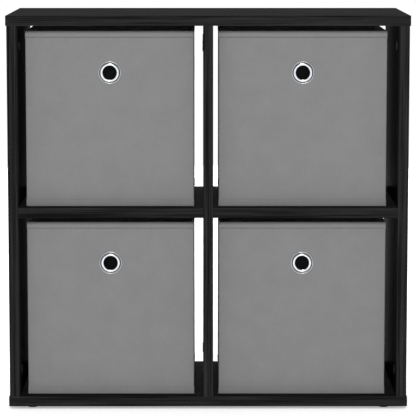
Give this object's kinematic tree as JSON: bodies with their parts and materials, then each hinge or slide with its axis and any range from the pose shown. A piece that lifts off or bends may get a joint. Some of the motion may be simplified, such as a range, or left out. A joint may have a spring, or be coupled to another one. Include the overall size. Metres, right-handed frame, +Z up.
{
  "type": "cube storage unit",
  "caption": "Open-backed cube storage unit of laminated board, with fabric bins that slide out, fold flat and have metal eyelets as pulls.",
  "frame": {"origin": "middle of the footprint, on the floor under the glides", "axes": "+Z up, the bins face and slide out towards -Y, +X to the right of someone facing the front"},
  "size_m": [0.637, 0.3, 0.629],
  "materials": {
    "laminate": "black woodgrain laminate on particle board",
    "edge_banding": "black woodgrain edge band",
    "bin_fabric": "light grey non-woven fabric over stiff board",
    "base_board": "grey non-woven fabric wrapped round a board",
    "eyelet": "polished nickel plate",
    "washer": "plain plated steel",
    "fastener": "zinc plated",
    "cap": "black moulded plastic",
    "dowel": "bare beech",
    "glide": "dark moulded plastic"
  },
  "bodies": {
    "cabinet": {"bottom_panel": "laminate", "bottom_panel_edge_banding": "edge_banding", "top_panel": "laminate", "top_panel_edge_banding": "edge_banding", "left_side_panel": "laminate", "left_side_panel_edge_banding": "edge_banding", "center_divider": "laminate", "center_divider_edge_banding": "edge_banding", "right_side_panel": "laminate", "right_side_panel_edge_banding": "edge_banding", "left_shelf": "laminate", "left_shelf_edge_banding": "edge_banding", "right_shelf": "laminate", "right_shelf_edge_banding": "edge_banding", "cam_bolts": "fastener", "cam_locks": "fastener", "cam_cover_caps": "cap", "wooden_dowels": "dowel", "floor_glides": "glide", "glide_nails": "fastener"},
    "upper_left_bin": {"upper_left_bin_front_wall": "bin_fabric", "upper_left_bin_floor_fabric": "bin_fabric", "upper_left_bin_eyelet": "eyelet", "upper_left_bin_eyelet_washer": "washer"},
    "upper_left_bin_base_board": {"upper_left_bin_base_board": "base_board"},
    "upper_left_bin_left_front_wall": {"upper_left_bin_left_front_wall": "bin_fabric"},
    "upper_left_bin_left_rear_wall": {"upper_left_bin_left_rear_wall": "bin_fabric"},
    "upper_left_bin_back_wall": {"upper_left_bin_back_wall": "bin_fabric"},
    "upper_left_bin_right_front_wall": {"upper_left_bin_right_front_wall": "bin_fabric"},
    "upper_left_bin_right_rear_wall": {"upper_left_bin_right_rear_wall": "bin_fabric"},
    "upper_right_bin": {"upper_right_bin_front_wall": "bin_fabric", "upper_right_bin_floor_fabric": "bin_fabric", "upper_right_bin_eyelet": "eyelet", "upper_right_bin_eyelet_washer": "washer"},
    "upper_right_bin_base_board": {"upper_right_bin_base_board": "base_board"},
    "upper_right_bin_left_front_wall": {"upper_right_bin_left_front_wall": "bin_fabric"},
    "upper_right_bin_left_rear_wall": {"upper_right_bin_left_rear_wall": "bin_fabric"},
    "upper_right_bin_back_wall": {"upper_right_bin_back_wall": "bin_fabric"},
    "upper_right_bin_right_front_wall": {"upper_right_bin_right_front_wall": "bin_fabric"},
    "upper_right_bin_right_rear_wall": {"upper_right_bin_right_rear_wall": "bin_fabric"},
    "lower_left_bin": {"lower_left_bin_front_wall": "bin_fabric", "lower_left_bin_floor_fabric": "bin_fabric", "lower_left_bin_eyelet": "eyelet", "lower_left_bin_eyelet_washer": "washer"},
    "lower_left_bin_base_board": {"lower_left_bin_base_board": "base_board"},
    "lower_left_bin_left_front_wall": {"lower_left_bin_left_front_wall": "bin_fabric"},
    "lower_left_bin_left_rear_wall": {"lower_left_bin_left_rear_wall": "bin_fabric"},
    "lower_left_bin_back_wall": {"lower_left_bin_back_wall": "bin_fabric"},
    "lower_left_bin_right_front_wall": {"lower_left_bin_right_front_wall": "bin_fabric"},
    "lower_left_bin_right_rear_wall": {"lower_left_bin_right_rear_wall": "bin_fabric"},
    "lower_right_bin": {"lower_right_bin_front_wall": "bin_fabric", "lower_right_bin_floor_fabric": "bin_fabric", "lower_right_bin_eyelet": "eyelet", "lower_right_bin_eyelet_washer": "washer"},
    "lower_right_bin_base_board": {"lower_right_bin_base_board": "base_board"},
    "lower_right_bin_left_front_wall": {"lower_right_bin_left_front_wall": "bin_fabric"},
    "lower_right_bin_left_rear_wall": {"lower_right_bin_left_rear_wall": "bin_fabric"},
    "lower_right_bin_back_wall": {"lower_right_bin_back_wall": "bin_fabric"},
    "lower_right_bin_right_front_wall": {"lower_right_bin_right_front_wall": "bin_fabric"},
    "lower_right_bin_right_rear_wall": {"lower_right_bin_right_rear_wall": "bin_fabric"}
  },
  "joints": [
    {"name": "upper_left_bin_slide", "type": "slide", "parent": "cabinet", "child": "upper_left_bin", "axis": [0, -1, 0], "range_m": [0, 0.3]},
    {"name": "upper_left_bin_board_lift", "type": "slide", "parent": "upper_left_bin", "child": "upper_left_bin_base_board", "axis": [0, 0, 1], "range_m": [0, 0.279]},
    {"name": "upper_left_bin_fold", "type": "hinge", "parent": "upper_left_bin", "child": "upper_left_bin_left_front_wall", "pos_m": [-0.2857, -0.1254, 0.4648], "axis": [0, 0, -1], "range_deg": [0, 90]},
    {"name": "upper_left_bin_left_crease", "type": "hinge", "parent": "upper_left_bin_left_front_wall", "child": "upper_left_bin_left_rear_wall", "pos_m": [-0.28895, 0.001, 0.4648], "axis": [0, 0, 1], "range_deg": [0, 180]},
    {"name": "upper_left_bin_left_back_corner", "type": "hinge", "parent": "upper_left_bin_left_rear_wall", "child": "upper_left_bin_back_wall", "pos_m": [-0.2857, 0.1274, 0.4648], "axis": [0, 0, -1], "range_deg": [0, 90]},
    {"name": "upper_left_bin_right_front_corner", "type": "hinge", "parent": "upper_left_bin", "child": "upper_left_bin_right_front_wall", "pos_m": [-0.0257, -0.1254, 0.4648], "axis": [0, 0, 1], "range_deg": [0, 90]},
    {"name": "upper_left_bin_right_crease", "type": "hinge", "parent": "upper_left_bin_right_front_wall", "child": "upper_left_bin_right_rear_wall", "pos_m": [-0.02245, 0.001, 0.4648], "axis": [0, 0, -1], "range_deg": [0, 180]},
    {"name": "upper_right_bin_slide", "type": "slide", "parent": "cabinet", "child": "upper_right_bin", "axis": [0, -1, 0], "range_m": [0, 0.3]},
    {"name": "upper_right_bin_board_lift", "type": "slide", "parent": "upper_right_bin", "child": "upper_right_bin_base_board", "axis": [0, 0, 1], "range_m": [0, 0.279]},
    {"name": "upper_right_bin_fold", "type": "hinge", "parent": "upper_right_bin", "child": "upper_right_bin_left_front_wall", "pos_m": [0.0199, -0.1254, 0.4648], "axis": [0, 0, -1], "range_deg": [0, 90]},
    {"name": "upper_right_bin_left_crease", "type": "hinge", "parent": "upper_right_bin_left_front_wall", "child": "upper_right_bin_left_rear_wall", "pos_m": [0.01665, 0.001, 0.4648], "axis": [0, 0, 1], "range_deg": [0, 180]},
    {"name": "upper_right_bin_left_back_corner", "type": "hinge", "parent": "upper_right_bin_left_rear_wall", "child": "upper_right_bin_back_wall", "pos_m": [0.0199, 0.1274, 0.4648], "axis": [0, 0, -1], "range_deg": [0, 90]},
    {"name": "upper_right_bin_right_front_corner", "type": "hinge", "parent": "upper_right_bin", "child": "upper_right_bin_right_front_wall", "pos_m": [0.2799, -0.1254, 0.4648], "axis": [0, 0, 1], "range_deg": [0, 90]},
    {"name": "upper_right_bin_right_crease", "type": "hinge", "parent": "upper_right_bin_right_front_wall", "child": "upper_right_bin_right_rear_wall", "pos_m": [0.28315, 0.001, 0.4648], "axis": [0, 0, -1], "range_deg": [0, 180]},
    {"name": "lower_left_bin_slide", "type": "slide", "parent": "cabinet", "child": "lower_left_bin", "axis": [0, -1, 0], "range_m": [0, 0.3]},
    {"name": "lower_left_bin_board_lift", "type": "slide", "parent": "lower_left_bin", "child": "lower_left_bin_base_board", "axis": [0, 0, 1], "range_m": [0, 0.279]},
    {"name": "lower_left_bin_fold", "type": "hinge", "parent": "lower_left_bin", "child": "lower_left_bin_left_front_wall", "pos_m": [-0.2857, -0.1254, 0.1608], "axis": [0, 0, -1], "range_deg": [0, 90]},
    {"name": "lower_left_bin_left_crease", "type": "hinge", "parent": "lower_left_bin_left_front_wall", "child": "lower_left_bin_left_rear_wall", "pos_m": [-0.28895, 0.001, 0.1608], "axis": [0, 0, 1], "range_deg": [0, 180]},
    {"name": "lower_left_bin_left_back_corner", "type": "hinge", "parent": "lower_left_bin_left_rear_wall", "child": "lower_left_bin_back_wall", "pos_m": [-0.2857, 0.1274, 0.1608], "axis": [0, 0, -1], "range_deg": [0, 90]},
    {"name": "lower_left_bin_right_front_corner", "type": "hinge", "parent": "lower_left_bin", "child": "lower_left_bin_right_front_wall", "pos_m": [-0.0257, -0.1254, 0.1608], "axis": [0, 0, 1], "range_deg": [0, 90]},
    {"name": "lower_left_bin_right_crease", "type": "hinge", "parent": "lower_left_bin_right_front_wall", "child": "lower_left_bin_right_rear_wall", "pos_m": [-0.02245, 0.001, 0.1608], "axis": [0, 0, -1], "range_deg": [0, 180]},
    {"name": "lower_right_bin_slide", "type": "slide", "parent": "cabinet", "child": "lower_right_bin", "axis": [0, -1, 0], "range_m": [0, 0.3]},
    {"name": "lower_right_bin_board_lift", "type": "slide", "parent": "lower_right_bin", "child": "lower_right_bin_base_board", "axis": [0, 0, 1], "range_m": [0, 0.279]},
    {"name": "lower_right_bin_fold", "type": "hinge", "parent": "lower_right_bin", "child": "lower_right_bin_left_front_wall", "pos_m": [0.0199, -0.1254, 0.1608], "axis": [0, 0, -1], "range_deg": [0, 90]},
    {"name": "lower_right_bin_left_crease", "type": "hinge", "parent": "lower_right_bin_left_front_wall", "child": "lower_right_bin_left_rear_wall", "pos_m": [0.01665, 0.001, 0.1608], "axis": [0, 0, 1], "range_deg": [0, 180]},
    {"name": "lower_right_bin_left_back_corner", "type": "hinge", "parent": "lower_right_bin_left_rear_wall", "child": "lower_right_bin_back_wall", "pos_m": [0.0199, 0.1274, 0.1608], "axis": [0, 0, -1], "range_deg": [0, 90]},
    {"name": "lower_right_bin_right_front_corner", "type": "hinge", "parent": "lower_right_bin", "child": "lower_right_bin_right_front_wall", "pos_m": [0.2799, -0.1254, 0.1608], "axis": [0, 0, 1], "range_deg": [0, 90]},
    {"name": "lower_right_bin_right_crease", "type": "hinge", "parent": "lower_right_bin_right_front_wall", "child": "lower_right_bin_right_rear_wall", "pos_m": [0.28315, 0.001, 0.1608], "axis": [0, 0, -1], "range_deg": [0, 180]}
  ],
  "couplings": [
    {"joint": "upper_left_bin_left_crease", "follows": "upper_left_bin_fold", "ratio": 2},
    {"joint": "upper_left_bin_left_back_corner", "follows": "upper_left_bin_fold", "ratio": 1},
    {"joint": "upper_left_bin_right_front_corner", "follows": "upper_left_bin_fold", "ratio": 1},
    {"joint": "upper_left_bin_right_crease", "follows": "upper_left_bin_fold", "ratio": 2},
    {"joint": "upper_right_bin_left_crease", "follows": "upper_right_bin_fold", "ratio": 2},
    {"joint": "upper_right_bin_left_back_corner", "follows": "upper_right_bin_fold", "ratio": 1},
    {"joint": "upper_right_bin_right_front_corner", "follows": "upper_right_bin_fold", "ratio": 1},
    {"joint": "upper_right_bin_right_crease", "follows": "upper_right_bin_fold", "ratio": 2},
    {"joint": "lower_left_bin_left_crease", "follows": "lower_left_bin_fold", "ratio": 2},
    {"joint": "lower_left_bin_left_back_corner", "follows": "lower_left_bin_fold", "ratio": 1},
    {"joint": "lower_left_bin_right_front_corner", "follows": "lower_left_bin_fold", "ratio": 1},
    {"joint": "lower_left_bin_right_crease", "follows": "lower_left_bin_fold", "ratio": 2},
    {"joint": "lower_right_bin_left_crease", "follows": "lower_right_bin_fold", "ratio": 2},
    {"joint": "lower_right_bin_left_back_corner", "follows": "lower_right_bin_fold", "ratio": 1},
    {"joint": "lower_right_bin_right_front_corner", "follows": "lower_right_bin_fold", "ratio": 1},
    {"joint": "lower_right_bin_right_crease", "follows": "lower_right_bin_fold", "ratio": 2}
  ]
}
